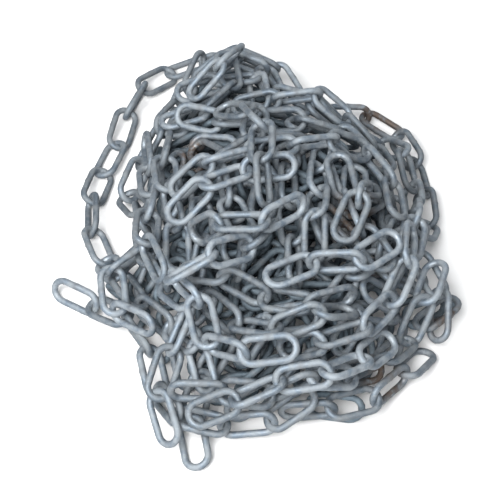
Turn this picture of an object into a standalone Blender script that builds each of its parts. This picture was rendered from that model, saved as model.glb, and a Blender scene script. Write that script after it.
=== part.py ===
"""A round, tangled heap of galvanised long-link steel chain.

Lengths are in metres and +Z is up. The origin is at the middle of the heap's base.
The buried links are one plain core. The links that show are laid on it in runs,
and each run is one solid whose links bear on each other.
"""

import math
import random

import bmesh
import bpy
import numpy as np
from mathutils import Vector
from mathutils.bvhtree import BVHTree

# Chain
WIRE = 0.0065
PITCH = 0.042
LINK_WIDTH = 0.028

# Link solid: a five-sided wire along an eight-point path
WIRE_SIDES = 5
WIRE_RADIUS = 0.0034
BOW_RADIUS = (LINK_WIDTH - WIRE) / 2
BOW_ANGLES = (-90, -30, 30, 90)
BOW_STRETCH = 1.078

# Laying
GAP = 0.00005
CORE_GAP = 0.0004
MOST_LIFT = 0.001
LEAST_LIFT = 0.00006
SLACK = 0.0012
SLACK_STEP = 0.0001
MOST_SLACK = 0.006
JOINT_CLEARANCE = 0.00625
LINKS_PER_NODE = 4
MOST_LINKS = 24
MOST_ROUNDS = 250
STEEPEST = 0.8
ROLL_SPREAD = 9
SEED = 7
ROUTE_STEPS = 16

# Where the origin lies on the plan that the routes and mounds are drawn on
HEAP_CENTRE = (-0.002, 0.017)

# Mounds of buried links: plan centre, half widths and height
MOUNDS = (
    (0.018, -0.004, 0.136, 0.182, 0.090),
    (-0.022, 0.190, 0.058, 0.066, 0.040),
    (-0.050, 0.090, 0.066, 0.093, 0.060),
    (-0.118, -0.062, 0.046, 0.046, 0.018),
    (0.164, -0.066, 0.034, 0.050, 0.020),
    (-0.080, -0.096, 0.036, 0.052, 0.022),
    (-0.028, -0.165, 0.040, 0.044, 0.020),
    (0.066, -0.150, 0.072, 0.050, 0.026),
)
MOUND_BLEND = 4
MOUND_ROUNDNESS = 0.6
CORE_SECTORS = 30
CORE_RINGS = (0.25, 0.45, 0.63, 0.79, 0.91, 1.0)
CORE_RIM = 0.005
CORE_REACH = 0.25
CORE_MIDDLE = (0.010, 0.010)

ZINC = (0.46, 0.50, 0.53, 1.0)
DARK_ZINC = (0.20, 0.22, 0.24, 1.0)

# Strands of the chain in the order they lie, lowest first: name, roll of even links
# and of odd links in degrees, and the route on the plan in millimetres
STRANDS = (
    (
        "front_end_strand",
        (15, -50),
        ((-26, -136), (-48, -162), (-60, -198), (-46, -258)),
    ),
    (
        "loose_strand",
        (18, -24),
        (
            (20, 238), (-27, 260), (-69, 269), (-105, 240), (-131, 210), (-141, 165),
            (-152, 122), (-165, 82), (-167, 42), (-160, 8), (-145, -24), (-126, -58), (-102, -94),
            (-72, -122), (-50, -152), (-42, -185),
        ),
    ),
    (
        "rim_strand",
        (50, -15),
        (
            (-54, 236), (-18, 245), (16, 235), (34, 205), (52, 182), (84, 178), (116, 180),
            (145, 161), (164, 125), (170, 84), (175, 46), (167, 8), (153, -24), (159, -54),
            (174, -80), (171, -110), (150, -134),
        ),
    ),
    (
        "front_edge_strand",
        (20, -50),
        ((158, -120), (138, -148), (112, -176), (82, -197), (45, -187), (12, -196)),
    ),
    (
        "front_strand",
        (25, -55),
        (
            (47, -190), (12, -207), (-24, -208), (-62, -205), (-84, -184), (-94, -152), (-104, -116),
            (-124, -92), (-150, -76), (-170, -56), (-214, -44),
        ),
    ),
    (
        "front_corner_strand",
        (50, -20),
        ((-60, -116), (-76, -148), (-88, -184), (-82, -216), (-58, -236)),
    ),
    (
        "arm_strand",
        (50, -20),
        ((-104, -32), (-130, -50), (-142, -84), (-118, -110), (-86, -130)),
    ),
    (
        "left_side_strand",
        (55, -20),
        (
            (-58, 238), (-72, 204), (-78, 168), (-92, 132), (-118, 100), (-132, 66), (-116, 32),
            (-108, -6), (-102, -44), (-86, -82), (-58, -120), (-30, -148),
        ),
    ),
    (
        "lobe_low_strand",
        (20, -55),
        ((-62, 204), (-38, 226), (-4, 226), (20, 200), (24, 166), (58, 156), (94, 152)),
    ),
    (
        "lobe_middle_strand",
        (55, -20),
        ((-78, 166), (-44, 184), (-8, 196), (14, 172), (2, 142)),
    ),
    (
        "back_strand",
        (20, -55),
        (
            (66, 156), (102, 148), (134, 130), (153, 96), (157, 54), (154, 8),
            (146, -38), (130, -80), (98, -106),
        ),
    ),
    (
        "left_low_strand",
        (20, -55),
        ((-112, 108), (-106, 66), (-100, 22), (-102, -22), (-100, -62), (-82, -98)),
    ),
    (
        "front_low_strand",
        (55, -20),
        (
            (-72, -192), (-30, -192), (14, -192), (58, -182), (98, -166), (126, -136),
            (152, -100), (168, -60), (166, -20),
        ),
    ),
    (
        "front_rim_strand",
        (15, -50),
        ((-56, -212), (-22, -208), (18, -194), (56, -194), (90, -174), (114, -146)),
    ),
    (
        "lobe_cross_strand",
        (20, -55),
        ((-92, 120), (-56, 132), (-28, 158), (-22, 196), (-44, 214)),
    ),
    (
        "right_strand",
        (55, -20),
        (
            (-20, 140), (16, 144), (52, 148), (88, 140), (116, 112), (128, 72), (132, 30),
            (130, -14), (112, -56), (84, -86), (62, -118),
        ),
    ),
    (
        "left_strand",
        (20, -55),
        ((-88, 96), (-90, 56), (-84, 16), (-74, -26), (-72, -62), (-86, -86)),
    ),
    (
        "front_left_strand",
        (50, -20),
        ((-74, -100), (-52, -132), (-36, -166), (0, -180), (34, -172)),
    ),
    (
        "front_right_strand",
        (20, -55),
        ((24, -150), (58, -158), (92, -148), (118, -118), (136, -82), (142, -44)),
    ),
    (
        "back_middle_strand",
        (55, -20),
        ((-76, 118), (-48, 100), (-14, 108), (22, 102), (58, 112), (92, 100), (108, 66)),
    ),
    (
        "front_upper_strand",
        (20, -55),
        ((-46, -104), (-22, -132), (8, -152), (42, -148), (74, -134), (98, -104)),
    ),
    (
        "front_middle_strand",
        (-25, 50),
        ((-66, -84), (-28, -100), (10, -112), (44, -124), (76, -112)),
    ),
    ("middle_strand_a", (20, -60), ((-56, 34), (-52, -6), (-48, -44), (-56, -84))),
    ("middle_strand_b", (55, -20), ((-34, 30), (-26, -12), (-10, -50), (-16, -92))),
    ("middle_strand_c", (20, -55), ((28, 66), (30, 22), (30, -26), (34, -66), (34, -106))),
    ("middle_strand_d", (55, -20), ((66, 72), (60, 28), (56, -16), (52, -60), (56, -100))),
    ("middle_strand_e", (20, -55), ((-60, 74), (-36, 42), (-8, 60), (0, 98))),
    ("middle_strand_f", (20, -55), ((76, 34), (84, -8), (96, -48), (116, -80))),
    ("middle_strand_g", (55, -25), ((12, -50), (-8, -88), (-40, -108), (-66, -118))),
    ("middle_strand_h", (20, -55), ((106, 34), (104, -6), (84, -44), (70, -84))),
    (
        "top_strand_a",
        (15, -60),
        (
            (-76, 0), (-42, 20), (-6, 34), (32, 42), (68, 54), (98, 66), (120, 46),
            (134, 10), (130, -32),
        ),
    ),
    ("middle_strand_i", (20, -55), ((124, -66), (92, -92), (56, -88), (20, -104))),
    ("middle_strand_j", (55, -20), ((-56, -56), (-22, -74), (14, -72), (44, -44))),
    ("lobe_top_strand", (20, -55), ((-64, 146), (-36, 170), (-14, 214))),
    ("top_strand_b", (55, -20), ((-76, -34), (-48, -14), (-18, 2), (20, 12), (56, 2))),
    ("top_strand_c", (20, -60), ((-34, 104), (-4, 74), (6, 34), (4, -12), (10, -54))),
)


def smooth_route(points):
    """A close polyline along a Catmull-Rom curve through plan points in millimetres."""
    at = [Vector((x / 1000 - HEAP_CENTRE[0], y / 1000 - HEAP_CENTRE[1])) for x, y in points]
    ends = [2 * at[0] - at[1]] + at + [2 * at[-1] - at[-2]]
    line = []
    for a, b, c, d in zip(ends, ends[1:], ends[2:], ends[3:]):
        for step in range(ROUTE_STEPS):
            t = step / ROUTE_STEPS
            line.append(
                b
                + (c - a) * (t / 2)
                + (2 * a - 5 * b + 4 * c - d) * (t**2 / 2)
                + (3 * b - a - 3 * c + d) * (t**3 / 2)
            )
    line.append(at[-1])
    return line


def mound_height(x, y):
    """Height of the buried links' surface over a place on the plan."""
    total = 0.0
    for centre_x, centre_y, half_x, half_y, height in MOUNDS:
        across = (x + HEAP_CENTRE[0] - centre_x) / half_x
        along = (y + HEAP_CENTRE[1] - centre_y) / half_y
        inside = 1 - across**2 - along**2
        if inside > 0:
            total += (height * inside**MOUND_ROUNDNESS) ** MOUND_BLEND
    return total ** (1 / MOUND_BLEND)


def core_outline(angle):
    """Distance from the core's middle to the edge of the mounds in one direction."""
    reach = CORE_REACH
    while reach > 0 and mound_height(
        CORE_MIDDLE[0] + reach * math.cos(angle), CORE_MIDDLE[1] + reach * math.sin(angle)
    ) < CORE_RIM:
        reach -= 0.001
    return reach


def core_shape():
    """Vertices and faces of the closed core: rings of a dome over a flat underside."""
    angles = [2 * math.pi * sector / CORE_SECTORS for sector in range(CORE_SECTORS)]
    reaches = [core_outline(angle) for angle in angles]
    middle_x, middle_y = CORE_MIDDLE
    vertices = [(middle_x, middle_y, mound_height(middle_x, middle_y))]
    for ring in CORE_RINGS:
        for angle, reach in zip(angles, reaches):
            x = middle_x + ring * reach * math.cos(angle)
            y = middle_y + ring * reach * math.sin(angle)
            height = CORE_RIM if ring == 1.0 else max(mound_height(x, y), CORE_RIM)
            vertices.append((x, y, height))
    rim = vertices[-CORE_SECTORS:]
    vertices += [(x, y, 0.0) for x, y, _ in rim]
    faces = []
    for sector in range(CORE_SECTORS):
        after = (sector + 1) % CORE_SECTORS
        faces.append((0, 1 + sector, 1 + after))
        for ring in range(len(CORE_RINGS)):
            inner = 1 + ring * CORE_SECTORS
            outer = inner + CORE_SECTORS
            faces.append((inner + sector, outer + sector, outer + after))
            faces.append((inner + sector, outer + after, inner + after))
    first = 1 + len(CORE_RINGS) * CORE_SECTORS
    faces.append(tuple(first + sector for sector in reversed(range(CORE_SECTORS))))
    return vertices, faces


def link_outline():
    """Centre line of a lying link along X, as corner points in order round it."""
    straight = (PITCH + 2 * WIRE - LINK_WIDTH) / 2
    points = []
    for side in (1, -1):
        for degrees in BOW_ANGLES:
            turn = math.radians(degrees)
            stretch = 1.0 if abs(degrees) == 90 else BOW_STRETCH
            along = straight + BOW_RADIUS * stretch * math.cos(turn)
            points.append((side * along, side * BOW_RADIUS * stretch * math.sin(turn)))
    return np.array(points)


def slope_normal(x, y):
    """Upward normal of the mounds' surface, smoothed over a link's width."""
    step = LINK_WIDTH / 2
    rise_x = (mound_height(x + step, y) - mound_height(x - step, y)) / (2 * step)
    rise_y = (mound_height(x, y + step) - mound_height(x, y - step)) / (2 * step)
    return Vector((-rise_x, -rise_y, 1.0)).normalized()


def link_spans(route, heights, slacks):
    """Both bearing points of every link, marched along the route one pitch at a time."""
    start = Vector((route[0].x, route[0].y, heights[0]))
    index = 0
    spans = []
    for height, slack in zip(heights[1:], slacks):
        while index < len(route) - 1:
            ahead = Vector((route[index + 1].x, route[index + 1].y, height))
            if (ahead - start).length >= PITCH:
                break
            index += 1
        if index == len(route) - 1:
            way = (route[-1] - route[-2]).normalized() * 2 * PITCH
            near = Vector((route[-1].x, route[-1].y, height))
            far = near + Vector((way.x, way.y, 0))
        else:
            near = Vector((route[index].x, route[index].y, height))
            far = Vector((route[index + 1].x, route[index + 1].y, height))
        low, high = 0.0, 1.0
        for _ in range(20):
            middle = (low + high) / 2
            if (near.lerp(far, middle) - start).length < PITCH:
                low = middle
            else:
                high = middle
        end = near.lerp(far, high)
        spans.append((start, end))
        start = end + (start - end).normalized() * slack
    return spans


def link_frame(start, end, roll):
    """Middle of a link with its length and width directions."""
    middle = (start + end) / 2
    along = (end - start).normalized()
    side = slope_normal(middle.x, middle.y).cross(along).normalized()
    up = along.cross(side)
    across = math.cos(roll) * side + math.sin(roll) * up
    return middle, along, across


def segment_gaps(starts, ends, other_starts, other_ends):
    """Shortest distances between two sets of segments."""
    way = ends - starts
    other_way = other_ends - other_starts
    between = starts - other_starts
    a = (way * way).sum(-1)
    b = (way * other_way).sum(-1)
    c = (other_way * other_way).sum(-1)
    d = (way * between).sum(-1)
    e = (other_way * between).sum(-1)
    spread = np.maximum(a * c - b * b, 1e-15)
    first = np.clip((b * e - c * d) / spread, 0, 1)
    second = np.clip((b * first + e) / c, 0, 1)
    first = np.clip((b * second - d) / a, 0, 1)
    apart = between + first[..., None] * way - second[..., None] * other_way
    return np.linalg.norm(apart, axis=-1)


class Laid:
    """The links that lie already, as the segments of their centre lines."""

    def __init__(self, tree):
        self.tree = tree
        self.middles = np.zeros((0, 3))
        self.starts = np.zeros((0, 8, 3))
        self.ends = np.zeros((0, 8, 3))

    def add(self, path):
        self.middles = np.vstack([self.middles, path.mean(axis=0)[None]])
        self.starts = np.concatenate([self.starts, path[None]])
        self.ends = np.concatenate([self.ends, np.roll(path, -1, axis=0)[None]])

    def ground_shortfall(self, path, after):
        """How far each stretch of a link is short of lying clear of the floor and core."""
        short = WIRE_RADIUS - np.minimum(path[:, 2], after[:, 2])
        for stretch, (start, end) in enumerate(zip(path, after)):
            parts = 1 + int(np.linalg.norm(end - start) / WIRE)
            for part in range(parts):
                point = Vector(start + (end - start) * part / parts)
                place = self.tree.find_nearest(point)[0]
                away = (point - place).length
                if self.tree.ray_cast(point, Vector((0, 0, 1)))[0] is not None:
                    away = -away
                short[stretch] = max(short[stretch], WIRE_RADIUS + CORE_GAP - away)
        return short

    def shortfall(self, path, own):
        """How far each stretch of a link is short of lying clear of all under it."""
        after = np.roll(path, -1, axis=0)
        short = self.ground_shortfall(path, after)
        near = np.linalg.norm(self.middles - path.mean(axis=0), axis=1) < PITCH + 3 * WIRE
        starts = [self.starts[near].reshape(-1, 3)] + own
        ends = [self.ends[near].reshape(-1, 3)] + [np.roll(other, -1, axis=0) for other in own]
        starts = np.concatenate(starts)
        if len(starts):
            gaps = segment_gaps(path[:, None], after[:, None], starts[None], np.concatenate(ends)[None])
            short = np.maximum(short, 2 * WIRE_RADIUS + GAP - gaps.min(axis=1))
        return short


def link_places(route, heights, slacks, rolls):
    """Middle, length direction and width direction of a strand's links.

    A link after a slack joint lies square to the last.
    """
    places = []
    slack_before = 0.0
    for (start, end), slack, roll in zip(link_spans(route, heights, slacks), slacks, rolls):
        middle, along, across = link_frame(start, end, roll)
        if slack_before:
            across = along.cross(places[-1][2]).normalized()
        slack_before = slack
        places.append((middle, along, across))
    return places


def link_path(place, outline):
    """Centre line of a link in its place."""
    middle, along, across = (np.array(vector) for vector in place)
    return middle + outline[:, :1] * along + outline[:, 1:] * across


def closest(path, other):
    """Shortest distance between two links' centre lines."""
    after = np.roll(path, -1, axis=0)
    other_after = np.roll(other, -1, axis=0)
    return segment_gaps(path[:, None], after[:, None], other[None], other_after[None]).min()


def node_sizes(count):
    """Links in each node of a strand: as even as can be, and at most LINKS_PER_NODE."""
    nodes = math.ceil(count / LINKS_PER_NODE)
    return [count // nodes + (1 if node < count % nodes else 0) for node in range(nodes)]


def lay_strand(laid, route, rolls):
    """Raises a strand's bearing points from the mounds until every link lies clear.

    The strand is cut into nodes at slack joints, but not where it bends too sharply.
    """
    length = sum((b - a).length for a, b in zip(route, route[1:]))
    count = max(1, round(length / PITCH))
    rolls = [rolls[link % len(rolls)] for link in range(count)]
    cuts = list(np.cumsum(node_sizes(count))[:-1])
    slacks = [SLACK if link + 1 in cuts else 0.0 for link in range(count)]
    heights = [mound_height(route[0].x, route[0].y) + WIRE_RADIUS] * (count + 1)
    for number, (_, end) in enumerate(link_spans(route, heights, slacks)):
        heights[number + 1] = mound_height(end.x, end.y) + WIRE_RADIUS
    outline = link_outline()
    share = 0.5 + (outline + np.roll(outline, -1, axis=0))[:, 0] / (2 * PITCH)
    for _ in range(MOST_ROUNDS):
        places = link_places(route, heights, slacks, rolls)
        paths = [link_path(place, outline) for place in places]
        lifts = [0.0] * (count + 1)
        clear = True
        for cut in list(cuts):
            if closest(paths[cut - 1], paths[cut]) < JOINT_CLEARANCE:
                clear = False
                slacks[cut - 1] += SLACK_STEP
                if slacks[cut - 1] > MOST_SLACK:
                    slacks[cut - 1] = 0.0
                    cuts.remove(cut)
        for link, path in enumerate(paths):
            own = [other for other in paths[: max(link - 1, 0)] if abs(other - path).max() < 2 * PITCH]
            short = laid.shortfall(path, own)
            if short.max() > 0:
                clear = False
                step = np.clip(short * 0.7, 0, MOST_LIFT) + LEAST_LIFT
                step[short <= 0] = 0
                lifts[link] = max(lifts[link], (step * (1 - share)).max())
                lifts[link + 1] = max(lifts[link + 1], (step * share).max())
        if clear:
            break
        heights = [height + lift for height, lift in zip(heights, lifts)]
        for number in range(count):
            low, high = sorted((number, number + 1), key=lambda at: heights[at])
            heights[low] = max(heights[low], heights[high] - STEEPEST * PITCH)
    return places, cuts


def lay_chain(tree):
    """The places of every node's links, by the node's name."""
    laid = Laid(tree)
    outline = link_outline()
    chance = random.Random(SEED)
    nodes = {}
    for name, (even_roll, odd_roll), points in STRANDS:
        rolls = []
        for number in range(MOST_LINKS):
            roll = odd_roll if number % 2 else even_roll
            rolls.append(math.radians(roll + chance.uniform(-ROLL_SPREAD, ROLL_SPREAD)))
        places, cuts = lay_strand(laid, smooth_route(points), rolls)
        for place in places:
            laid.add(link_path(place, outline))
        groups = [places[low:high] for low, high in zip([0, *cuts], [*cuts, len(places)])]
        for number, group in enumerate(groups):
            nodes[f"{name}_{number + 1}" if len(groups) > 1 else name] = group
    return nodes


def link_mesh(path):
    """Vertices and faces of one link: a ring of wire sections along its centre line."""
    count = len(path)
    normal = Vector(np.cross(path[1] - path[0], path[2] - path[1])).normalized()
    vertices = []
    for at in range(count):
        before = Vector(path[at] - path[at - 1]).normalized()
        after = Vector(path[(at + 1) % count] - path[at]).normalized()
        outward = normal.cross(before + after).normalized()
        for side in range(WIRE_SIDES):
            turn = 2 * math.pi * side / WIRE_SIDES
            offset = WIRE_RADIUS * (math.cos(turn) * outward + math.sin(turn) * normal)
            vertices.append(Vector(path[at]) + offset)
    faces = []
    for at in range(count):
        ring = at * WIRE_SIDES
        ring_after = ((at + 1) % count) * WIRE_SIDES
        for side in range(WIRE_SIDES):
            side_after = (side + 1) % WIRE_SIDES
            faces.append((ring + side, ring_after + side, ring_after + side_after, ring + side_after))
    return vertices, faces


def add_object(name, vertices, faces, material):
    mesh = bpy.data.meshes.new(name)
    mesh.from_pydata(vertices, [], faces)
    work = bmesh.new()
    work.from_mesh(mesh)
    bmesh.ops.recalc_face_normals(work, faces=work.faces)
    work.to_mesh(mesh)
    work.free()
    body = bpy.data.objects.new(name, mesh)
    body.data.materials.append(material)
    bpy.context.collection.objects.link(body)
    return body


def fused_run(name, places, material):
    """One solid for a run: its links are joined where they bear on each other."""
    paths = [link_path(place, link_outline()) for place in places]
    run = add_object(name, *link_mesh(paths[0]), material)
    for path in paths[1:]:
        link = add_object("next_link", *link_mesh(path), material)
        union = run.modifiers.new("join", "BOOLEAN")
        union.operation = "UNION"
        union.object = link
        shape = run.evaluated_get(bpy.context.evaluated_depsgraph_get())
        joined = bpy.data.meshes.new_from_object(shape)
        run.modifiers.remove(union)
        run.data = joined
        bpy.data.objects.remove(link)
    return run


def metal(name, colour, roughness):
    material = bpy.data.materials.new(name)
    material.use_nodes = True
    surface = material.node_tree.nodes["Principled BSDF"]
    surface.inputs["Base Color"].default_value = colour
    surface.inputs["Metallic"].default_value = 1.0
    surface.inputs["Roughness"].default_value = roughness
    return material


def main():
    for body in list(bpy.data.objects):
        bpy.data.objects.remove(body)
    vertices, faces = core_shape()
    add_object("buried_links_core", vertices, faces, metal("buried_zinc", DARK_ZINC, 0.7))
    tree = BVHTree.FromPolygons(vertices, faces)
    for name, places in lay_chain(tree).items():
        fused_run(name, places, metal(name + "_zinc", ZINC, 0.45))


main()
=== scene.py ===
"""Looks of a tangled heap of galvanised long-link steel chain.

Every link is a round, welded wire link. The links that show lie where the model's
strands lie, and the buried ones fill the place of the model's plain core.
"""

import math
import random

import bpy
import numpy as np
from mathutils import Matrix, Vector
from mathutils.bvhtree import BVHTree

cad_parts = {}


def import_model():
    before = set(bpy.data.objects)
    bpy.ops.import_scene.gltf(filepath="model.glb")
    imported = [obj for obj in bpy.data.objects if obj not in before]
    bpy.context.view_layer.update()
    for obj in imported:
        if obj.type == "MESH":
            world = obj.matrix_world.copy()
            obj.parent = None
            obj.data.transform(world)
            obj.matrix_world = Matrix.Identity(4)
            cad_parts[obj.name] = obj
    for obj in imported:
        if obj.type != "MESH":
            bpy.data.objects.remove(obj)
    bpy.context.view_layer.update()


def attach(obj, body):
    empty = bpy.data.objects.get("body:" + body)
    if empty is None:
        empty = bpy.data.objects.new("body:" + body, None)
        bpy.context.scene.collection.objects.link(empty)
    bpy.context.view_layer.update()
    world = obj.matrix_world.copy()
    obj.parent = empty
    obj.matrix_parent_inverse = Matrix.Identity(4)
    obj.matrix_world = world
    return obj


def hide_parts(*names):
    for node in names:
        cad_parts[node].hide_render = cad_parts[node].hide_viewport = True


# Chain
WIRE = 0.0065
PITCH = 0.042
LINK_WIDTH = 0.028
BOW_RADIUS = (LINK_WIDTH - WIRE) / 2
STRAIGHT = (PITCH + 2 * WIRE - LINK_WIDTH) / 2

# Round wire link
WIRE_SIDES = 12
BOW_STEPS = 12
WELD_STATIONS = (-9.0, -5.0, -3.0, -1.7, -0.8, 0.0, 0.8, 1.7, 3.0, 5.0, 9.0)
PLAIN_STATIONS = (-7.0, 0.0, 7.0)
WELD_SWELL = 0.10
WELD_LENGTH = 0.0030
FLASH_HEIGHT = 0.07
FLASH_LENGTH = 0.0008

# The outline that links are laid with: eight corners of a stiff wire
WIRE_RADIUS = 0.0034
BOW_ANGLES = (-90, -30, 30, 90)
BOW_STRETCH = 1.078

# Laying: gaps to keep, how far a link is raised in one round, and the slack at joints
GAP = 0.00005
CORE_GAP = 0.0004
LIFT_SHARE = 0.7
MOST_LIFT = 0.001
LEAST_LIFT = 0.00006
SLACK = 0.0012
SLACK_STEP = 0.0001
MOST_SLACK = 0.006
JOINT_CLEARANCE = 0.00625
LINKS_PER_NODE = 4
MOST_LINKS = 24
MOST_ROUNDS = 250
STEEPEST = 0.8
ROLL_SPREAD = 9
SEED = 7
ROUTE_STEPS = 16

# Where the origin lies on the plan that the routes and mounds are drawn on
HEAP_CENTRE = (-0.002, 0.017)

# Mounds of buried links: plan centre, half widths and height
MOUNDS = (
    (0.018, -0.004, 0.136, 0.182, 0.090),
    (-0.022, 0.190, 0.058, 0.066, 0.040),
    (-0.050, 0.090, 0.066, 0.093, 0.060),
    (-0.118, -0.062, 0.046, 0.046, 0.018),
    (0.164, -0.066, 0.034, 0.050, 0.020),
    (-0.080, -0.096, 0.036, 0.052, 0.022),
    (-0.028, -0.165, 0.040, 0.044, 0.020),
    (0.066, -0.150, 0.072, 0.050, 0.026),
)
MOUND_BLEND = 4
MOUND_ROUNDNESS = 0.6

# The plain core that the strands lie on: rings of a dome out to the mounds' edge
CORE_SECTORS = 30
CORE_RINGS = (0.25, 0.45, 0.63, 0.79, 0.91, 1.0)
CORE_RIM = 0.005
CORE_REACH = 0.25
CORE_STEP = 0.001
CORE_MIDDLE = (0.010, 0.010)

# Strands of the chain in the order they lie, lowest first: name, roll of even links
# and of odd links in degrees, and the route on the plan in millimetres
STRANDS = (
    (
        "front_end_strand",
        (15, -50),
        ((-26, -136), (-48, -162), (-60, -198), (-46, -258)),
    ),
    (
        "loose_strand",
        (18, -24),
        (
            (20, 238), (-27, 260), (-69, 269), (-105, 240), (-131, 210), (-141, 165),
            (-152, 122), (-165, 82), (-167, 42), (-160, 8), (-145, -24), (-126, -58), (-102, -94),
            (-72, -122), (-50, -152), (-42, -185),
        ),
    ),
    (
        "rim_strand",
        (50, -15),
        (
            (-54, 236), (-18, 245), (16, 235), (34, 205), (52, 182), (84, 178), (116, 180),
            (145, 161), (164, 125), (170, 84), (175, 46), (167, 8), (153, -24), (159, -54),
            (174, -80), (171, -110), (150, -134),
        ),
    ),
    (
        "front_edge_strand",
        (20, -50),
        ((158, -120), (138, -148), (112, -176), (82, -197), (45, -187), (12, -196)),
    ),
    (
        "front_strand",
        (25, -55),
        (
            (47, -190), (12, -207), (-24, -208), (-62, -205), (-84, -184), (-94, -152), (-104, -116),
            (-124, -92), (-150, -76), (-170, -56), (-214, -44),
        ),
    ),
    (
        "front_corner_strand",
        (50, -20),
        ((-60, -116), (-76, -148), (-88, -184), (-82, -216), (-58, -236)),
    ),
    (
        "arm_strand",
        (50, -20),
        ((-104, -32), (-130, -50), (-142, -84), (-118, -110), (-86, -130)),
    ),
    (
        "left_side_strand",
        (55, -20),
        (
            (-58, 238), (-72, 204), (-78, 168), (-92, 132), (-118, 100), (-132, 66), (-116, 32),
            (-108, -6), (-102, -44), (-86, -82), (-58, -120), (-30, -148),
        ),
    ),
    (
        "lobe_low_strand",
        (20, -55),
        ((-62, 204), (-38, 226), (-4, 226), (20, 200), (24, 166), (58, 156), (94, 152)),
    ),
    (
        "lobe_middle_strand",
        (55, -20),
        ((-78, 166), (-44, 184), (-8, 196), (14, 172), (2, 142)),
    ),
    (
        "back_strand",
        (20, -55),
        (
            (66, 156), (102, 148), (134, 130), (153, 96), (157, 54), (154, 8),
            (146, -38), (130, -80), (98, -106),
        ),
    ),
    (
        "left_low_strand",
        (20, -55),
        ((-112, 108), (-106, 66), (-100, 22), (-102, -22), (-100, -62), (-82, -98)),
    ),
    (
        "front_low_strand",
        (55, -20),
        (
            (-72, -192), (-30, -192), (14, -192), (58, -182), (98, -166), (126, -136),
            (152, -100), (168, -60), (166, -20),
        ),
    ),
    (
        "front_rim_strand",
        (15, -50),
        ((-56, -212), (-22, -208), (18, -194), (56, -194), (90, -174), (114, -146)),
    ),
    (
        "lobe_cross_strand",
        (20, -55),
        ((-92, 120), (-56, 132), (-28, 158), (-22, 196), (-44, 214)),
    ),
    (
        "right_strand",
        (55, -20),
        (
            (-20, 140), (16, 144), (52, 148), (88, 140), (116, 112), (128, 72), (132, 30),
            (130, -14), (112, -56), (84, -86), (62, -118),
        ),
    ),
    (
        "left_strand",
        (20, -55),
        ((-88, 96), (-90, 56), (-84, 16), (-74, -26), (-72, -62), (-86, -86)),
    ),
    (
        "front_left_strand",
        (50, -20),
        ((-74, -100), (-52, -132), (-36, -166), (0, -180), (34, -172)),
    ),
    (
        "front_right_strand",
        (20, -55),
        ((24, -150), (58, -158), (92, -148), (118, -118), (136, -82), (142, -44)),
    ),
    (
        "back_middle_strand",
        (55, -20),
        ((-76, 118), (-48, 100), (-14, 108), (22, 102), (58, 112), (92, 100), (108, 66)),
    ),
    (
        "front_upper_strand",
        (20, -55),
        ((-46, -104), (-22, -132), (8, -152), (42, -148), (74, -134), (98, -104)),
    ),
    (
        "front_middle_strand",
        (-25, 50),
        ((-66, -84), (-28, -100), (10, -112), (44, -124), (76, -112)),
    ),
    ("middle_strand_a", (20, -60), ((-56, 34), (-52, -6), (-48, -44), (-56, -84))),
    ("middle_strand_b", (55, -20), ((-34, 30), (-26, -12), (-10, -50), (-16, -92))),
    ("middle_strand_c", (20, -55), ((28, 66), (30, 22), (30, -26), (34, -66), (34, -106))),
    ("middle_strand_d", (55, -20), ((66, 72), (60, 28), (56, -16), (52, -60), (56, -100))),
    ("middle_strand_e", (20, -55), ((-60, 74), (-36, 42), (-8, 60), (0, 98))),
    ("middle_strand_f", (20, -55), ((76, 34), (84, -8), (96, -48), (116, -80))),
    ("middle_strand_g", (55, -25), ((12, -50), (-8, -88), (-40, -108), (-66, -118))),
    ("middle_strand_h", (20, -55), ((106, 34), (104, -6), (84, -44), (70, -84))),
    (
        "top_strand_a",
        (15, -60),
        (
            (-76, 0), (-42, 20), (-6, 34), (32, 42), (68, 54), (98, 66), (120, 46),
            (134, 10), (130, -32),
        ),
    ),
    ("middle_strand_i", (20, -55), ((124, -66), (92, -92), (56, -88), (20, -104))),
    ("middle_strand_j", (55, -20), ((-56, -56), (-22, -74), (14, -72), (44, -44))),
    ("lobe_top_strand", (20, -55), ((-64, 146), (-36, 170), (-14, 214))),
    ("top_strand_b", (55, -20), ((-76, -34), (-48, -14), (-18, 2), (20, 12), (56, 2))),
    ("top_strand_c", (20, -60), ((-34, 104), (-4, 74), (6, 34), (4, -12), (10, -54))),
)

# Buried links lie in waving rows at a depth under the mounds' surface, or proud of it where
# the depth is below zero. Each layer has its depth and the headings in degrees that its
# rows are tried in, and the last four fill the gaps that the others leave
BURIED_LAYERS = (
    (-0.007, (35, 95, 155, 5, 65, 125)),
    (-0.001, (20, 110, -40, 80)),
    (0.004, (65, 0, 155, 120, 30)),
    (0.009, (80, 10, 130, 45)),
    (0.014, (170, 100, 30)),
    (0.020, (120, 0, 75)),
    (0.027, (140, 60, 100)),
    (0.034, (20, 110, 65)),
    (0.042, (160, 90)),
    (0.052, (50,)),
    (-0.014, (40, 130, 85, 0)),
    (-0.020, (60, 150, 15)),
    (0.001, (75, 165, 25, 120)),
    (0.008, (50, 140, 95)),
)
BURIED_ROW = 0.011
BURIED_WAVE = 0.012
BURIED_WAVE_LENGTH = 0.130
BURIED_REACH = 0.28
BURIED_STEP = 0.002
BURIED_SEED = 3
# Least height of the mounds over a buried link, its clearance between centre lines, and
# how far its top may stand above the mounds
BURIED_LEAST = 0.008
BURIED_CLEARANCE = 0.0056
BURIED_PROUD = 0.020
# Moves up or down that are tried until a buried link lies clear
BURIED_SHIFTS = (0.0, 0.003, -0.004, 0.006, -0.008)
# Lean of every second link and of the links between, in degrees, for lying and standing rows
BURIED_LEANS = (((-50, -30), (5, 25)), ((55, 85), (-25, -5)))
# The heap's foot reaches from the core's middle out to the links at its edge, less an inset.
# The strands that lie apart from the heap don't count
FOOT_SECTORS = 72
FOOT_INSET = 0.009
APART = ("loose", "arm", "front_end", "front_corner")
# How high buried links may stand in the foot, however low the mounds are there
FOOT_HEIGHT = 0.030
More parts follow.
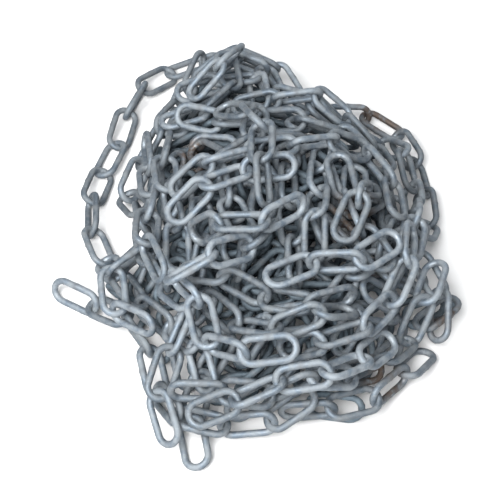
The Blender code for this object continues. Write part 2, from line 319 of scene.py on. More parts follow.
# Buried links whose middles are less deep than this have the outer finish; deeper ones have the darker
# buried finish, painted shade
SHALLOW = 0.002

# Finishes, in linear colour
OUTER_FINISH = {
    "dark_zinc": (0.09, 0.113, 0.138, 1),
    "pale_zinc": (0.182, 0.202, 0.218, 1),
    "rubbed": (0.28, 0.305, 0.325, 1),
    "dust_and_shade_colour": (0.10, 0.09, 0.07, 1),
    "rust_colour": (0.078, 0.058, 0.046, 1),
    "spangle": 0.35,
    "tone": 0.2,
    "wear": 0.7,
    "dust_and_shade": 0.4,
    "smooth": 0.6,
    "matt": 0.8,
    "metal": 0.7,
}
# The buried finish is the outer one darkened throughout: painted shade for the links deep in the heap
SHADED_BURIED_FINISH = {
    "dark_zinc": (0.045, 0.063, 0.078, 1),
    "pale_zinc": (0.105, 0.133, 0.155, 1),
    "rubbed": (0.18, 0.205, 0.225, 1),
    "dust_and_shade_colour": (0.05, 0.042, 0.034, 1),
    "rust_colour": (0.05, 0.034, 0.026, 1),
    "spangle": 0.35,
    "tone": 0.2,
    "wear": 0.5,
    "dust_and_shade": 0.5,
    "smooth": 0.6,
    "matt": 0.8,
    "metal": 0.6,
}
# Places of the rust bloom and how far it spreads round each
RUST_SPOTS = (
    ((0.093, -0.038, 0.088), 0.034),
    ((-0.057, 0.054, 0.068), 0.026),
    ((0.185, -0.116, 0.015), 0.030),
    ((0.115, -0.174, 0.020), 0.028),
    ((0.140, 0.167, 0.020), 0.040),
)
RUST_AMOUNT = 0.95
WELD_SCALE = (0.13, 0.14, 0.15, 1)
WELD_SCALE_AMOUNT = 0.6
BUMP_DEPTH = 0.00035
BUMP_STRENGTH = 0.5
# What rubbing takes off the roughness, and what dust with painted shade low in the heap adds to it and
# takes off the metal
SMOOTHER_WHERE_RUBBED = -0.16
ROUGHER_WITH_DUST_AND_SHADE = 0.25
DULLER_WITH_DUST_AND_SHADE = 0.6

# Pale board under the heap
FLOOR_SIZE = 40
FLOOR_TONES = ((0.54, 0.54, 0.54, 1), (0.56, 0.56, 0.56, 1))
FLOOR_CLOUD_SCALE = 6.0
FLOOR_ROUGHNESS = 0.85

# Camera and light. Each lamp has its name, place, size and watts
CAMERA_HEIGHT_ANGLE = math.radians(52)
CAMERA_DISTANCE = 1.3
CAMERA_LENS = 93.6
CAMERA_SENSOR = 36
VIEW_SHIFT = (-0.006, 0.0076)
LAMPS = (
    ("key", (-0.45, -0.85, 1.3), 1.1, 86),
    ("fill", (0.5, -1.4, 0.9), 1.2, 6),
    ("back_fill", (0.5, 1.5, 1.3), 1.4, 22),
)
SKY_COLOUR = (0.86, 0.93, 1.0, 1)
SKY_STRENGTH = 0.26


def smooth_route(points):
    """A close polyline along a smooth curve through plan points in millimetres."""
    at = [Vector((x / 1000 - HEAP_CENTRE[0], y / 1000 - HEAP_CENTRE[1])) for x, y in points]
    ends = [2 * at[0] - at[1]] + at + [2 * at[-1] - at[-2]]
    line = []
    for a, b, c, d in zip(ends, ends[1:], ends[2:], ends[3:]):
        for step in range(ROUTE_STEPS):
            t = step / ROUTE_STEPS
            line.append(
                b
                + (c - a) * (t / 2)
                + (2 * a - 5 * b + 4 * c - d) * (t**2 / 2)
                + (3 * b - a - 3 * c + d) * (t**3 / 2)
            )
    line.append(at[-1])
    return line


def mound_height(x, y):
    """Height of the buried links' surface over a place on the plan."""
    total = 0.0
    for centre_x, centre_y, half_x, half_y, height in MOUNDS:
        across = (x + HEAP_CENTRE[0] - centre_x) / half_x
        along = (y + HEAP_CENTRE[1] - centre_y) / half_y
        inside = 1 - across**2 - along**2
        if inside > 0:
            total += (height * inside**MOUND_ROUNDNESS) ** MOUND_BLEND
    return total ** (1 / MOUND_BLEND)


def core_outline(angle):
    """Distance from the core's middle to the edge of the mounds in one direction."""
    reach = CORE_REACH
    while reach > 0 and mound_height(
        CORE_MIDDLE[0] + reach * math.cos(angle), CORE_MIDDLE[1] + reach * math.sin(angle)
    ) < CORE_RIM:
        reach -= CORE_STEP
    return reach


def core_shape():
    """Vertices and faces of the closed core: rings of a dome over a flat underside."""
    angles = [2 * math.pi * sector / CORE_SECTORS for sector in range(CORE_SECTORS)]
    reaches = [core_outline(angle) for angle in angles]
    middle_x, middle_y = CORE_MIDDLE
    vertices = [(middle_x, middle_y, mound_height(middle_x, middle_y))]
    for ring in CORE_RINGS:
        for angle, reach in zip(angles, reaches):
            x = middle_x + ring * reach * math.cos(angle)
            y = middle_y + ring * reach * math.sin(angle)
            height = CORE_RIM if ring == 1.0 else max(mound_height(x, y), CORE_RIM)
            vertices.append((x, y, height))
    rim = vertices[-CORE_SECTORS:]
    vertices += [(x, y, 0.0) for x, y, _ in rim]
    faces = []
    for sector in range(CORE_SECTORS):
        after = (sector + 1) % CORE_SECTORS
        faces.append((0, 1 + sector, 1 + after))
        for ring in range(len(CORE_RINGS)):
            inner = 1 + ring * CORE_SECTORS
            outer = inner + CORE_SECTORS
            faces.append((inner + sector, outer + sector, outer + after))
            faces.append((inner + sector, outer + after, inner + after))
    first = 1 + len(CORE_RINGS) * CORE_SECTORS
    faces.append(tuple(first + sector for sector in reversed(range(CORE_SECTORS))))
    return vertices, faces


def link_outline():
    """Centre line of a lying link along X, as corner points in order round it."""
    points = []
    for side in (1, -1):
        for degrees in BOW_ANGLES:
            turn = math.radians(degrees)
            stretch = 1.0 if abs(degrees) == 90 else BOW_STRETCH
            along = STRAIGHT + BOW_RADIUS * stretch * math.cos(turn)
            points.append((side * along, side * BOW_RADIUS * stretch * math.sin(turn)))
    return np.array(points)


def slope_normal(x, y):
    """Upward normal of the mounds' surface, smoothed over a link's width."""
    step = LINK_WIDTH / 2
    rise_x = (mound_height(x + step, y) - mound_height(x - step, y)) / (2 * step)
    rise_y = (mound_height(x, y + step) - mound_height(x, y - step)) / (2 * step)
    return Vector((-rise_x, -rise_y, 1.0)).normalized()


def link_spans(route, heights, slacks):
    """Both bearing points of every link, marched along the route one pitch at a time."""
    start = Vector((route[0].x, route[0].y, heights[0]))
    index = 0
    spans = []
    for height, slack in zip(heights[1:], slacks):
        while index < len(route) - 1:
            ahead = Vector((route[index + 1].x, route[index + 1].y, height))
            if (ahead - start).length >= PITCH:
                break
            index += 1
        if index == len(route) - 1:
            way = (route[-1] - route[-2]).normalized() * 2 * PITCH
            near = Vector((route[-1].x, route[-1].y, height))
            far = near + Vector((way.x, way.y, 0))
        else:
            near = Vector((route[index].x, route[index].y, height))
            far = Vector((route[index + 1].x, route[index + 1].y, height))
        low, high = 0.0, 1.0
        for _ in range(20):
            middle = (low + high) / 2
            if (near.lerp(far, middle) - start).length < PITCH:
                low = middle
            else:
                high = middle
        end = near.lerp(far, high)
        spans.append((start, end))
        start = end + (start - end).normalized() * slack
    return spans


def link_frame(start, end, roll):
    """Middle of a link with its length and width directions."""
    middle = (start + end) / 2
    along = (end - start).normalized()
    side = slope_normal(middle.x, middle.y).cross(along).normalized()
    up = along.cross(side)
    across = math.cos(roll) * side + math.sin(roll) * up
    return middle, along, across


def segment_gaps(starts, ends, other_starts, other_ends):
    """Shortest distances between two sets of segments."""
    way = ends - starts
    other_way = other_ends - other_starts
    between = starts - other_starts
    a = (way * way).sum(-1)
    b = (way * other_way).sum(-1)
    c = (other_way * other_way).sum(-1)
    d = (way * between).sum(-1)
    e = (other_way * between).sum(-1)
    square = np.maximum(a * c - b * b, 1e-15)
    first = np.clip((b * e - c * d) / square, 0, 1)
    second = np.clip((b * first + e) / c, 0, 1)
    first = np.clip((b * second - d) / a, 0, 1)
    apart = between + first[..., None] * way - second[..., None] * other_way
    return np.linalg.norm(apart, axis=-1)


def path_gaps(path, starts, ends):
    """Distances from each stretch of a link's centre line to each of some segments."""
    after = np.roll(path, -1, axis=0)
    return segment_gaps(path[:, None], after[:, None], starts[None], ends[None])


class Laid:
    """The links that lie already, as the segments of their centre lines."""

    def __init__(self, tree):
        self.tree = tree
        self.middles = np.zeros((0, 3))
        self.starts = np.zeros((0, 8, 3))
        self.ends = np.zeros((0, 8, 3))

    def add(self, path):
        """Adds a link by its centre line."""
        self.middles = np.vstack([self.middles, path.mean(axis=0)[None]])
        self.starts = np.concatenate([self.starts, path[None]])
        self.ends = np.concatenate([self.ends, np.roll(path, -1, axis=0)[None]])

    def near(self, path):
        """Which links lie close enough to a link for their wires to meet."""
        return np.linalg.norm(self.middles - path.mean(axis=0), axis=1) < PITCH + 3 * WIRE

    def ground_shortfall(self, path, after):
        """How far each stretch of a link is short of lying clear of the floor and core."""
        short = WIRE_RADIUS - np.minimum(path[:, 2], after[:, 2])
        for stretch, (start, end) in enumerate(zip(path, after)):
            parts = 1 + int(np.linalg.norm(end - start) / WIRE)
            for part in range(parts):
                point = Vector(start + (end - start) * part / parts)
                place = self.tree.find_nearest(point)[0]
                away = (point - place).length
                if self.tree.ray_cast(point, Vector((0, 0, 1)))[0] is not None:
                    away = -away
                short[stretch] = max(short[stretch], WIRE_RADIUS + CORE_GAP - away)
        return short

    def shortfall(self, path, own):
        """How far each stretch of a link is short of lying clear of all under it."""
        after = np.roll(path, -1, axis=0)
        short = self.ground_shortfall(path, after)
        near = self.near(path)
        starts = [self.starts[near].reshape(-1, 3)] + own
        ends = [self.ends[near].reshape(-1, 3)] + [np.roll(other, -1, axis=0) for other in own]
        starts = np.concatenate(starts)
        if len(starts):
            gaps = path_gaps(path, starts, np.concatenate(ends))
            short = np.maximum(short, 2 * WIRE_RADIUS + GAP - gaps.min(axis=1))
        return short


def link_places(route, heights, slacks, rolls):
    """Middle, length direction and width direction of a strand's links.

    A link after a slack joint lies square to the last.
    """
    places = []
    slack_before = 0.0
    for (start, end), slack, roll in zip(link_spans(route, heights, slacks), slacks, rolls):
        middle, along, across = link_frame(start, end, roll)
        if slack_before:
            across = along.cross(places[-1][2]).normalized()
        slack_before = slack
        places.append((middle, along, across))
    return places


def link_path(place, outline):
    """Centre line of a link in its place."""
    middle, along, across = (np.array(vector) for vector in place)
    return middle + outline[:, :1] * along + outline[:, 1:] * across


def closest(path, other):
    """Shortest distance between two links' centre lines."""
    return path_gaps(path, other, np.roll(other, -1, axis=0)).min()


def node_sizes(count):
    """Links in each node of a strand: as even as can be, and at most LINKS_PER_NODE."""
    nodes = math.ceil(count / LINKS_PER_NODE)
    return [count // nodes + (1 if node < count % nodes else 0) for node in range(nodes)]


def open_tight_joints(paths, cuts, slacks):
    """Widens the slack joints that aren't clear, or gives them up. True if all are clear."""
    clear = True
    for cut in list(cuts):
        if closest(paths[cut - 1], paths[cut]) < JOINT_CLEARANCE:
            clear = False
            slacks[cut - 1] += SLACK_STEP
            if slacks[cut - 1] > MOST_SLACK:
                slacks[cut - 1] = 0.0
                cuts.remove(cut)
    return clear


def lifts_needed(laid, paths, share):
    """How far to raise each bearing point of a strand towards its links lying clear."""
    lifts = [0.0] * (len(paths) + 1)
    for link, path in enumerate(paths):
        own = [other for other in paths[: max(link - 1, 0)] if abs(other - path).max() < 2 * PITCH]
        short = laid.shortfall(path, own)
        if short.max() > 0:
            step = np.clip(short * LIFT_SHARE, 0, MOST_LIFT) + LEAST_LIFT
            step[short <= 0] = 0
            lifts[link] = max(lifts[link], (step * (1 - share)).max())
            lifts[link + 1] = max(lifts[link + 1], (step * share).max())
    return lifts


def lay_strand(laid, route, rolls):
    """Raises a strand's bearing points from the mounds until every link lies clear.

    The strand is cut into nodes at slack joints, but not where it bends too sharply.
    """
    length = sum((b - a).length for a, b in zip(route, route[1:]))
    count = max(1, round(length / PITCH))
    rolls = [rolls[link % len(rolls)] for link in range(count)]
    cuts = list(np.cumsum(node_sizes(count))[:-1])
    slacks = [SLACK if link + 1 in cuts else 0.0 for link in range(count)]
    heights = [mound_height(route[0].x, route[0].y) + WIRE_RADIUS] * (count + 1)
    for number, (_, end) in enumerate(link_spans(route, heights, slacks)):
        heights[number + 1] = mound_height(end.x, end.y) + WIRE_RADIUS
    outline = link_outline()
    share = 0.5 + (outline + np.roll(outline, -1, axis=0))[:, 0] / (2 * PITCH)
    for _ in range(MOST_ROUNDS):
        places = link_places(route, heights, slacks, rolls)
        paths = [link_path(place, outline) for place in places]
        clear = open_tight_joints(paths, cuts, slacks)
        lifts = lifts_needed(laid, paths, share)
        if clear and not any(lifts):
            break
        heights = [height + lift for height, lift in zip(heights, lifts)]
        for number in range(count):
            low, high = sorted((number, number + 1), key=lambda at: heights[at])
            heights[low] = max(heights[low], heights[high] - STEEPEST * PITCH)
    return places, cuts


def lay_chain(tree):
    """The places of every node's links, by the node's name."""
    laid = Laid(tree)
    outline = link_outline()
    chance = random.Random(SEED)
    nodes = {}
    for name, (even_roll, odd_roll), points in STRANDS:
        rolls = []
        for number in range(MOST_LINKS):
            roll = odd_roll if number % 2 else even_roll
            rolls.append(math.radians(roll + chance.uniform(-ROLL_SPREAD, ROLL_SPREAD)))
        places, cuts = lay_strand(laid, smooth_route(points), rolls)
        for place in places:
            laid.add(link_path(place, outline))
        groups = [places[low:high] for low, high in zip([0, *cuts], [*cuts, len(places)])]
        for number, group in enumerate(groups):
            nodes[f"{name}_{number + 1}" if len(groups) > 1 else name] = group
    return nodes


def link_stations(bow_steps):
    """Points round a link's centre line: place along, place across, outward turn."""
    plain = (-STRAIGHT * 1000, *PLAIN_STATIONS)
    points = [(station / 1000, -BOW_RADIUS, -math.pi / 2) for station in plain]
    for step in range(bow_steps + 1):
        turn = math.pi * (step / bow_steps - 0.5)
        points.append((STRAIGHT + BOW_RADIUS * math.cos(turn), BOW_RADIUS * math.sin(turn), turn))
    points += [(-station / 1000, BOW_RADIUS, math.pi / 2) for station in WELD_STATIONS]
    for step in range(bow_steps):
        turn = math.pi * (step / bow_steps + 0.5)
        points.append((-STRAIGHT + BOW_RADIUS * math.cos(turn), BOW_RADIUS * math.sin(turn), turn))
    return points


def round_link(sides, bow_steps):
    """Vertices of a link about its own middle, its quads, and masks of its weld and rub."""
    vertices = []
    welds = []
    rubs = []
    stations = link_stations(bow_steps)
    for along, across, turn in stations:
        on_weld = math.exp(-((along / WELD_LENGTH) ** 2)) if across >= BOW_RADIUS - 1e-9 else 0.0
        flash = math.exp(-((along / FLASH_LENGTH) ** 2)) if on_weld else 0.0
        bead = WELD_SWELL * on_weld + FLASH_HEIGHT * flash
        on_bow = max(0.0, (abs(along) - STRAIGHT) / BOW_RADIUS)
        for side in range(sides):
            angle = 2 * math.pi * side / sides
            radius = WIRE / 2 * (1 + bead * (1 + math.cos(angle)) / 2)
            outward = radius * math.cos(angle)
            vertices.append(
                (
                    along + outward * math.cos(turn),
                    across + outward * math.sin(turn),
                    radius * math.sin(angle),
                )
            )
            welds.append(on_weld)
            rubs.append(max(0.0, -math.cos(angle)) * on_bow)
    quads = []
    for at in range(len(stations)):
        after = (at + 1) % len(stations)
        for side in range(sides):
            beside = (side + 1) % sides
            quads.append(
                (at * sides + side, after * sides + side, after * sides + beside, at * sides + beside)
            )
    return np.array(vertices), np.array(quads), {"weld": welds, "rub": rubs}


def link_piece(name, places, shape, chance, material):
    """One mesh of the links at the given places, each with its own tone and weld side."""
    link_vertices, quads, masks = shape
    vertices = []
    faces = []
    tones = []
    for number, (middle, along, across) in enumerate(places):
        weld_side = 1 if across.z > 0 else -1
        up = along.cross(across)
        axes = np.array([along, weld_side * across, weld_side * up])
        vertices.append(np.array(middle) + link_vertices @ axes)
        faces.append(quads + number * len(link_vertices))
        tones.append(np.full(len(link_vertices), chance.random()))
    mesh = bpy.data.meshes.new(name)
    mesh.from_pydata(np.concatenate(vertices).tolist(), [], np.concatenate(faces).tolist())
    mesh.polygons.foreach_set("use_smooth", [True] * len(mesh.polygons))
    tone = mesh.attributes.new("link_tone", "FLOAT", "POINT")
    tone.data.foreach_set("value", np.concatenate(tones))
    for mask_name, values in masks.items():
        mask = mesh.attributes.new(mask_name, "FLOAT", "POINT")
        mask.data.foreach_set("value", np.tile(values, len(places)))
    mesh.materials.append(material)
    piece = bpy.data.objects.new(name, mesh)
    bpy.context.scene.collection.objects.link(piece)
    return piece


def foot_sector(x, y):
    """Number of the sector round the core's middle that a place is in."""
    turn = math.atan2(y - CORE_MIDDLE[1], x - CORE_MIDDLE[0]) / (2 * math.pi)
    return math.floor(turn * FOOT_SECTORS) % FOOT_SECTORS


def foot_reaches(chain):
    """How far the heap's own links reach from the core's middle, in each direction."""
    outline = link_outline()
    reaches = [0.0] * FOOT_SECTORS
    for name, places in chain.items():
        if not name.startswith(APART):
            for place in places:
                for x, y, _ in link_path(place, outline):
                    reach = math.hypot(x - CORE_MIDDLE[0], y - CORE_MIDDLE[1]) - FOOT_INSET
                    sector = foot_sector(x, y)
                    reaches[sector] = max(reaches[sector], reach)
    return reaches


def within_foot(reaches, x, y):
    """Whether a place is over the mounds or among the heap's own links."""
    reach = math.hypot(x - CORE_MIDDLE[0], y - CORE_MIDDLE[1])
    return reach < reaches[foot_sector(x, y)] or mound_height(x, y) > BURIED_LEAST


def buried_row(chance, depth, heading, offset, reaches):
    """Bearing points of one waving row, in runs that end where the heap does."""
    ahead = Vector((math.cos(heading), math.sin(heading)))
    beside = Vector((-ahead.y, ahead.x))
    phase = chance.uniform(0, 2 * math.pi)
    way = -BURIED_REACH + chance.uniform(0, PITCH)
    runs = [[]]
    while way < BURIED_REACH:
        wave = BURIED_WAVE * math.sin(phase + 2 * math.pi * way / BURIED_WAVE_LENGTH)
        spot = way * ahead + (offset + wave) * beside
        surface = mound_height(spot.x, spot.y)
        point = Vector((spot.x, spot.y, max(surface - depth, WIRE_RADIUS)))
        if not within_foot(reaches, spot.x, spot.y):
            if runs[-1]:
                runs.append([])
        elif not runs[-1] or (point - runs[-1][-1]).length >= PITCH:
            runs[-1].append(point)
        way += BURIED_STEP
    return runs


def fitted(laid, place, outline, linked, reaches):
    """A buried link's place, moved up or down until it's clear, and its centre line.

    The link that it hangs in doesn't count. None if no move leaves it clear.
    """
    middle, along, across = place
    for shift in BURIED_SHIFTS:
        moved = (middle + Vector((0, 0, shift)), along, across)
        path = link_path(moved, outline)
        low = path[:, 2].min() - WIRE / 2 * (1 + WELD_SWELL + FLASH_HEIGHT)
        if low < 0:
            moved = (moved[0] - Vector((0, 0, low)), along, across)
            path = link_path(moved, outline)
        if not all(within_foot(reaches, x, y) for x, y, _ in path):
            continue
        top = path[path[:, 2].argmax()]
        if top[2] + WIRE / 2 > max(mound_height(top[0], top[1]) + BURIED_PROUD, FOOT_HEIGHT):
            continue
        near = laid.near(path)
        if linked is not None:
            near &= np.abs(laid.middles - linked).max(axis=1) > 1e-6
        starts = laid.starts[near].reshape(-1, 3)
        ends = laid.ends[near].reshape(-1, 3)
        if not len(starts) or path_gaps(path, starts, ends).min() > BURIED_CLEARANCE:
            return moved, path
    return None


def buried_places(chain):
    """Places of the buried links, each clear of the links that show and of each other."""
    chance = random.Random(BURIED_SEED)
    outline = link_outline()
    laid = Laid(None)
    for places in chain.values():
        for place in places:
            laid.add(link_path(place, outline))
    reaches = foot_reaches(chain)
    kept = []
    rows = [(depth, heading) for depth, headings in BURIED_LAYERS for heading in headings]
    for row, (depth, heading) in enumerate(rows):
        leans = BURIED_LEANS[row % 2]
        offset = -BURIED_REACH + chance.uniform(0, BURIED_ROW)
        while offset < BURIED_REACH:
            for run in buried_row(chance, depth, math.radians(heading), offset, reaches):
                linked = None
                for number, (start, end) in enumerate(zip(run, run[1:])):
                    place = link_frame(start, end, math.radians(chance.uniform(*leans[number % 2])))
                    fit = fitted(laid, place, outline, linked, reaches)
                    linked = None
                    if fit:
                        laid.add(fit[1])
                        linked = fit[1].mean(axis=0)
                        kept.append(fit[0])
            offset += BURIED_ROW
    return kept


def add_node(tree, kind, inputs, **settings):
    """A node with its settings, and its inputs set to values or joined to sockets."""
    node = tree.nodes.new(kind)
    for name, value in settings.items():
        setattr(node, name, value)
    for name, value in inputs.items():
        if isinstance(value, bpy.types.NodeSocket):
            tree.links.new(value, node.inputs[name])
        else:
            node.inputs[name].default_value = value
    return node


def math_node(tree, operation, first, second):
    """Output of a sum on two values."""
    return add_node(tree, "ShaderNodeMath", {0: first, 1: second}, operation=operation).outputs[0]


def spread(tree, value, low, high, new_low=0.0, new_high=1.0):
    """A value's range from low to high, spread smoothly over a new one."""
    inputs = {"Value": value, "From Min": low, "From Max": high, "To Min": new_low, "To Max": new_high}
    return add_node(tree, "ShaderNodeMapRange", inputs, interpolation_type="SMOOTHSTEP").outputs[0]


def mixed(tree, factor, first, second, blend_type="MIX"):
    """Output of a mix of two colours."""
    inputs = {0: factor, 6: first, 7: second}
    return add_node(tree, "ShaderNodeMix", inputs, data_type="RGBA", blend_type=blend_type).outputs[2]


def noise(tree, place, scale, detail, roughness=0.5):
    """Output of a cloudy noise."""
    inputs = {"Vector": place, "Scale": scale, "Detail": detail, "Roughness": roughness}
    return add_node(tree, "ShaderNodeTexNoise", inputs).outputs["Fac"]


def effect_group(name, inputs, outputs):
    """An empty node group with its named sockets, and its two end nodes."""
    tree = bpy.data.node_groups.new(name, "ShaderNodeTree")
    for label, value in inputs.items():
        kind = "NodeSocketColor" if isinstance(value, tuple) else "NodeSocketFloat"
        tree.interface.new_socket(label, in_out="INPUT", socket_type=kind).default_value = value
    for label, kind in outputs.items():
        tree.interface.new_socket(label, in_out="OUTPUT", socket_type=kind)
    given = tree.nodes.new("NodeGroupInput").outputs
    result = tree.nodes.new("NodeGroupOutput").inputs
    return tree, given, result


def own_place(tree):
    """Place on the heap, so that neighbouring pieces share one pattern."""
    return add_node(tree, "ShaderNodeTexCoord", {}).outputs["Object"]


def point_value(tree, name):
    """A value that the mesh has at each point."""
    return add_node(tree, "ShaderNodeAttribute", {}, attribute_name=name).outputs["Fac"]


def zinc_bloom_group():
    """Dip-coated zinc: cloudy bloom, faint spangle and fine grit, as a mask and a height."""
    inputs = {"Cloud Scale": 95.0, "Spangle Scale": 420.0, "Grit Scale": 1900.0, "Spangle": 0.3}
    outputs = {"Bloom": "NodeSocketFloat", "Height": "NodeSocketFloat"}
    tree, given, result = effect_group("zinc_bloom", inputs, outputs)
    place = own_place(tree)
    cloud = noise(tree, place, given["Cloud Scale"], 4, 0.6)
    grit = noise(tree, place, given["Grit Scale"], 3, 0.6)
    cells = add_node(tree, "ShaderNodeTexVoronoi", {"Vector": place, "Scale": given["Spangle Scale"]})
    cell_tone = add_node(tree, "ShaderNodeSeparateColor", {"Color": cells.outputs["Color"]})
    spangle = math_node(tree, "MULTIPLY", cell_tone.outputs["Red"], given["Spangle"])
    cloud_and_spangle = math_node(tree, "ADD", spread(tree, cloud, 0.32, 0.68), spangle)
    bloom = math_node(tree, "ADD", cloud_and_spangle, spread(tree, grit, 0.3, 0.7, -0.18, 0.18))
    tree.links.new(spread(tree, bloom, 0.0, 1.25), result["Bloom"])
    lumps = noise(tree, place, given["Spangle Scale"], 2)
    fine = math_node(tree, "MULTIPLY", grit, 0.45)
    tree.links.new(math_node(tree, "ADD", lumps, fine), result["Height"])
    return tree


def rub_wear_group():
    """Bright rubbed metal where links bear on each other, broken up by short scratches."""
    inputs = {"Rub": 0.0, "Scratch Scale": 260.0, "Amount": 1.0}
    tree, given, result = effect_group("rub_wear", inputs, {"Wear": "NodeSocketFloat"})
    place = own_place(tree)
    stretched = add_node(
        tree, "ShaderNodeMapping", {"Vector": place, "Rotation": (0.4, 0.2, 0.7), "Scale": (1, 1, 7)}
    ).outputs["Vector"]
    scratches = spread(tree, noise(tree, stretched, given["Scratch Scale"], 3, 0.65), 0.56, 0.66)
    broken = spread(tree, noise(tree, place, 300.0, 3), 0.35, 0.6)
    bearing = math_node(tree, "MULTIPLY", given["Rub"], broken)
    marked = math_node(tree, "MAXIMUM", bearing, math_node(tree, "MULTIPLY", scratches, 0.35))
    tree.links.new(math_node(tree, "MULTIPLY", marked, given["Amount"]), result["Wear"])
    return tree


def dust_and_low_shade_group():
    """Brown dust and rust bloom that settles in patches, made stronger low in the heap as painted shade.
    """
    inputs = {"Patch Scale": 22.0, "Low": 0.0, "High": 0.16, "Amount": 0.5}
    tree, given, result = effect_group("dust_and_low_shade", inputs, {"Dust And Shade": "NodeSocketFloat"})
    place = own_place(tree)
    height = add_node(tree, "ShaderNodeSeparateXYZ", {"Vector": place}).outputs["Z"]
    # Painted shade: the mask is four times as strong at the bottom of the heap as at the top
    low_shade = spread(tree, height, given["Low"], given["High"], 1.0, 0.25)
    patches = spread(tree, noise(tree, place, given["Patch Scale"], 5, 0.65), 0.52, 0.72)
    specks = spread(tree, noise(tree, place, 520.0, 3, 0.6), 0.4, 0.62, 0.35, 1.0)
    dust_and_shade = math_node(tree, "MULTIPLY", math_node(tree, "MULTIPLY", patches, specks), low_shade)
    tree.links.new(math_node(tree, "MULTIPLY", dust_and_shade, given["Amount"]), result["Dust And Shade"])
    return tree


def rust_bloom_group():
    """Brown rust bloom round a few places in the heap, ragged at its edges."""
    tree, given, result = effect_group("rust_bloom", {"Amount": 0.8}, {"Rust": "NodeSocketFloat"})
    place = own_place(tree)
    rust = 0.0
    for spot, reach in RUST_SPOTS:
        away = add_node(tree, "ShaderNodeVectorMath", {0: place, 1: spot}, operation="DISTANCE")
        here = spread(tree, away.outputs["Value"], 0.45 * reach, reach, 1.0, 0.0)
        rust = math_node(tree, "MAXIMUM", rust, here)
    ragged = spread(tree, noise(tree, place, 140.0, 4, 0.65), 0.3, 0.55)
    bloom = math_node(tree, "MULTIPLY", rust, ragged)
    tree.links.new(math_node(tree, "MULTIPLY", bloom, given["Amount"]), result["Rust"])
    return tree


def place_group(tree, group, inputs):
    """Outputs of a shared effect placed in a material."""
    return add_node(tree, "ShaderNodeGroup", inputs, node_tree=group).outputs


def zinc_material(name, groups, finish):
    """Grey zinc on steel: bloom, rubbed bearings, weld scale, settled dirt with painted shade low in the
    heap, and rust. The buried finish makes it all darker as painted shade.
    """
    material = bpy.data.materials.new(name)
    material.use_nodes = True
    tree = material.node_tree
    surface = tree.nodes["Principled BSDF"]
    bloom = place_group(tree, groups["bloom"], {"Spangle": finish["spangle"]})
    wear = place_group(tree, groups["wear"], {"Rub": point_value(tree, "rub"), "Amount": finish["wear"]})
    dust_and_shade = place_group(tree, groups["dust_and_shade"], {"Amount": finish["dust_and_shade"]})
    rust = place_group(tree, groups["rust"], {"Amount": RUST_AMOUNT})
    zinc = mixed(tree, bloom["Bloom"], finish["dark_zinc"], finish["pale_zinc"])
    tone = spread(tree, point_value(tree, "link_tone"), 0.0, 1.0, 1 - finish["tone"], 1 + finish["tone"])
    toned = mixed(tree, 1.0, zinc, tone, "MULTIPLY")
    rubbed = mixed(tree, wear["Wear"], toned, finish["rubbed"])
    scale = math_node(tree, "MULTIPLY", point_value(tree, "weld"), WELD_SCALE_AMOUNT)
    welded = mixed(tree, scale, rubbed, WELD_SCALE)
    # Dust patches, strengthened low in the heap as painted shade, darken the colour
    dusty_and_shaded = mixed(tree, dust_and_shade["Dust And Shade"], welded, finish["dust_and_shade_colour"])
    rusted = mixed(tree, rust["Rust"], dusty_and_shaded, finish["rust_colour"])
    tree.links.new(rusted, surface.inputs["Base Color"])
    matt = spread(tree, bloom["Bloom"], 0.0, 1.0, finish["smooth"], finish["matt"])
    less_rough = math_node(tree, "MULTIPLY", wear["Wear"], SMOOTHER_WHERE_RUBBED)
    more_rough = math_node(tree, "MULTIPLY", dust_and_shade["Dust And Shade"], ROUGHER_WITH_DUST_AND_SHADE)
    roughness = math_node(tree, "ADD", math_node(tree, "ADD", matt, less_rough), more_rough)
    tree.links.new(roughness, surface.inputs["Roughness"])
    less_metal = math_node(tree, "MULTIPLY", dust_and_shade["Dust And Shade"], DULLER_WITH_DUST_AND_SHADE)
    tree.links.new(math_node(tree, "SUBTRACT", finish["metal"], less_metal), surface.inputs["Metallic"])
    relief = {"Height": bloom["Height"], "Strength": BUMP_STRENGTH, "Distance": BUMP_DEPTH}
    bump = add_node(tree, "ShaderNodeBump", relief)
    tree.links.new(bump.outputs["Normal"], surface.inputs["Normal"])
    return material


def floor_material():
    """Smooth pale board with a very faint clouding."""
    material = bpy.data.materials.new("pale_board")
    material.use_nodes = True
    tree = material.node_tree
    surface = tree.nodes["Principled BSDF"]
    clouds = noise(tree, own_place(tree), FLOOR_CLOUD_SCALE, 3)
    tree.links.new(mixed(tree, clouds, *FLOOR_TONES), surface.inputs["Base Color"])
    surface.inputs["Roughness"].default_value = FLOOR_ROUGHNESS
    return material


def floor():
    """A wide board that the heap lies on."""
    bpy.ops.mesh.primitive_plane_add(size=FLOOR_SIZE)
    plane = bpy.context.object
    plane.name = "floor"
    plane.data.materials.append(floor_material())


def area_light(name, place, size, watts):
    """A round lamp aimed at the heap."""
    data = bpy.data.lights.new(name, "AREA")
    data.shape = "DISK"
    data.size = size
    data.energy = watts
    lamp = bpy.data.objects.new(name, data)
    lamp.location = place
    lamp.rotation_euler = (-Vector(place)).to_track_quat("-Z", "Y").to_euler()
    bpy.context.scene.collection.objects.link(lamp)


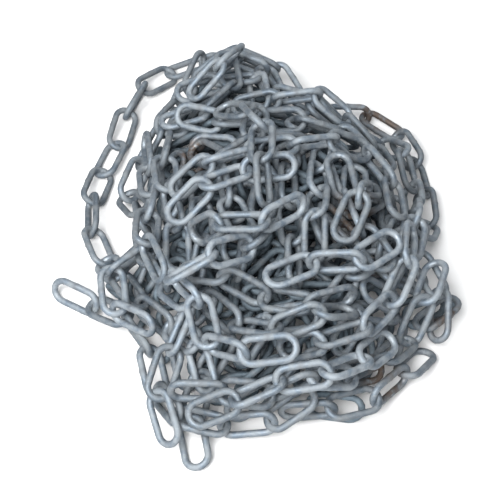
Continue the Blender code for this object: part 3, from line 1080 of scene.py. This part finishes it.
def studio():
    """Board, lamps and a faint cool sky."""
    floor()
    for lamp in LAMPS:
        area_light(*lamp)
    bpy.context.scene.view_settings.view_transform = "Standard"
    world = bpy.data.worlds.new("studio")
    world.use_nodes = True
    sky = world.node_tree.nodes["Background"].inputs
    sky["Color"].default_value = SKY_COLOUR
    sky["Strength"].default_value = SKY_STRENGTH
    bpy.context.scene.world = world


def camera():
    """A camera in front, looking down on the heap."""
    data = bpy.data.cameras.new("camera")
    data.lens = CAMERA_LENS
    data.sensor_width = CAMERA_SENSOR
    eye = bpy.data.objects.new("camera", data)
    target = Vector((VIEW_SHIFT[0] - HEAP_CENTRE[0], VIEW_SHIFT[1] - HEAP_CENTRE[1], 0))
    back = Vector((0, -math.cos(CAMERA_HEIGHT_ANGLE), math.sin(CAMERA_HEIGHT_ANGLE)))
    eye.location = target + CAMERA_DISTANCE * back
    eye.rotation_euler = (-back).to_track_quat("-Z", "Y").to_euler()
    bpy.context.scene.collection.objects.link(eye)
    bpy.context.scene.camera = eye


def main():
    """Lays the chain in the frame, then sets the board, lamps and camera."""
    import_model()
    groups = {
        "bloom": zinc_bloom_group(),
        "wear": rub_wear_group(),
        "dust_and_shade": dust_and_low_shade_group(),
        "rust": rust_bloom_group(),
    }
    zinc = zinc_material("galvanised_zinc", groups, OUTER_FINISH)
    # Darker zinc for the buried links: painted shade deep in the heap
    shaded_zinc = zinc_material("shaded_zinc", groups, SHADED_BURIED_FINISH)
    chance = random.Random(SEED)
    vertices, faces = core_shape()
    tree = BVHTree.FromPolygons(vertices, faces)
    fine_link = round_link(WIRE_SIDES, BOW_STEPS)
    chain = lay_chain(tree)
    for name, places in chain.items():
        piece = link_piece(name + "_links", places, fine_link, chance, zinc)
        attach(piece, "root")
        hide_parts(name)
    buried = buried_places(chain)
    # Links deeper than SHALLOW get the darker zinc as painted shade
    depths = [mound_height(middle.x, middle.y) - middle.z for middle, _, _ in buried]
    shallow = [place for place, depth in zip(buried, depths) if depth < SHALLOW]
    deep = [place for place, depth in zip(buried, depths) if depth >= SHALLOW]
    plain_link = round_link(WIRE_SIDES - 4, BOW_STEPS - 4)
    for name, laid, material, slot in (
        ("shallow_links", shallow, zinc, "zinc"),
        ("buried_links", deep, shaded_zinc, "buried_zinc"),
    ):
        piece = link_piece(name, laid, plain_link, chance, material)
        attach(piece, "root")
        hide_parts("buried_links_core")
    studio()
    camera()


main()
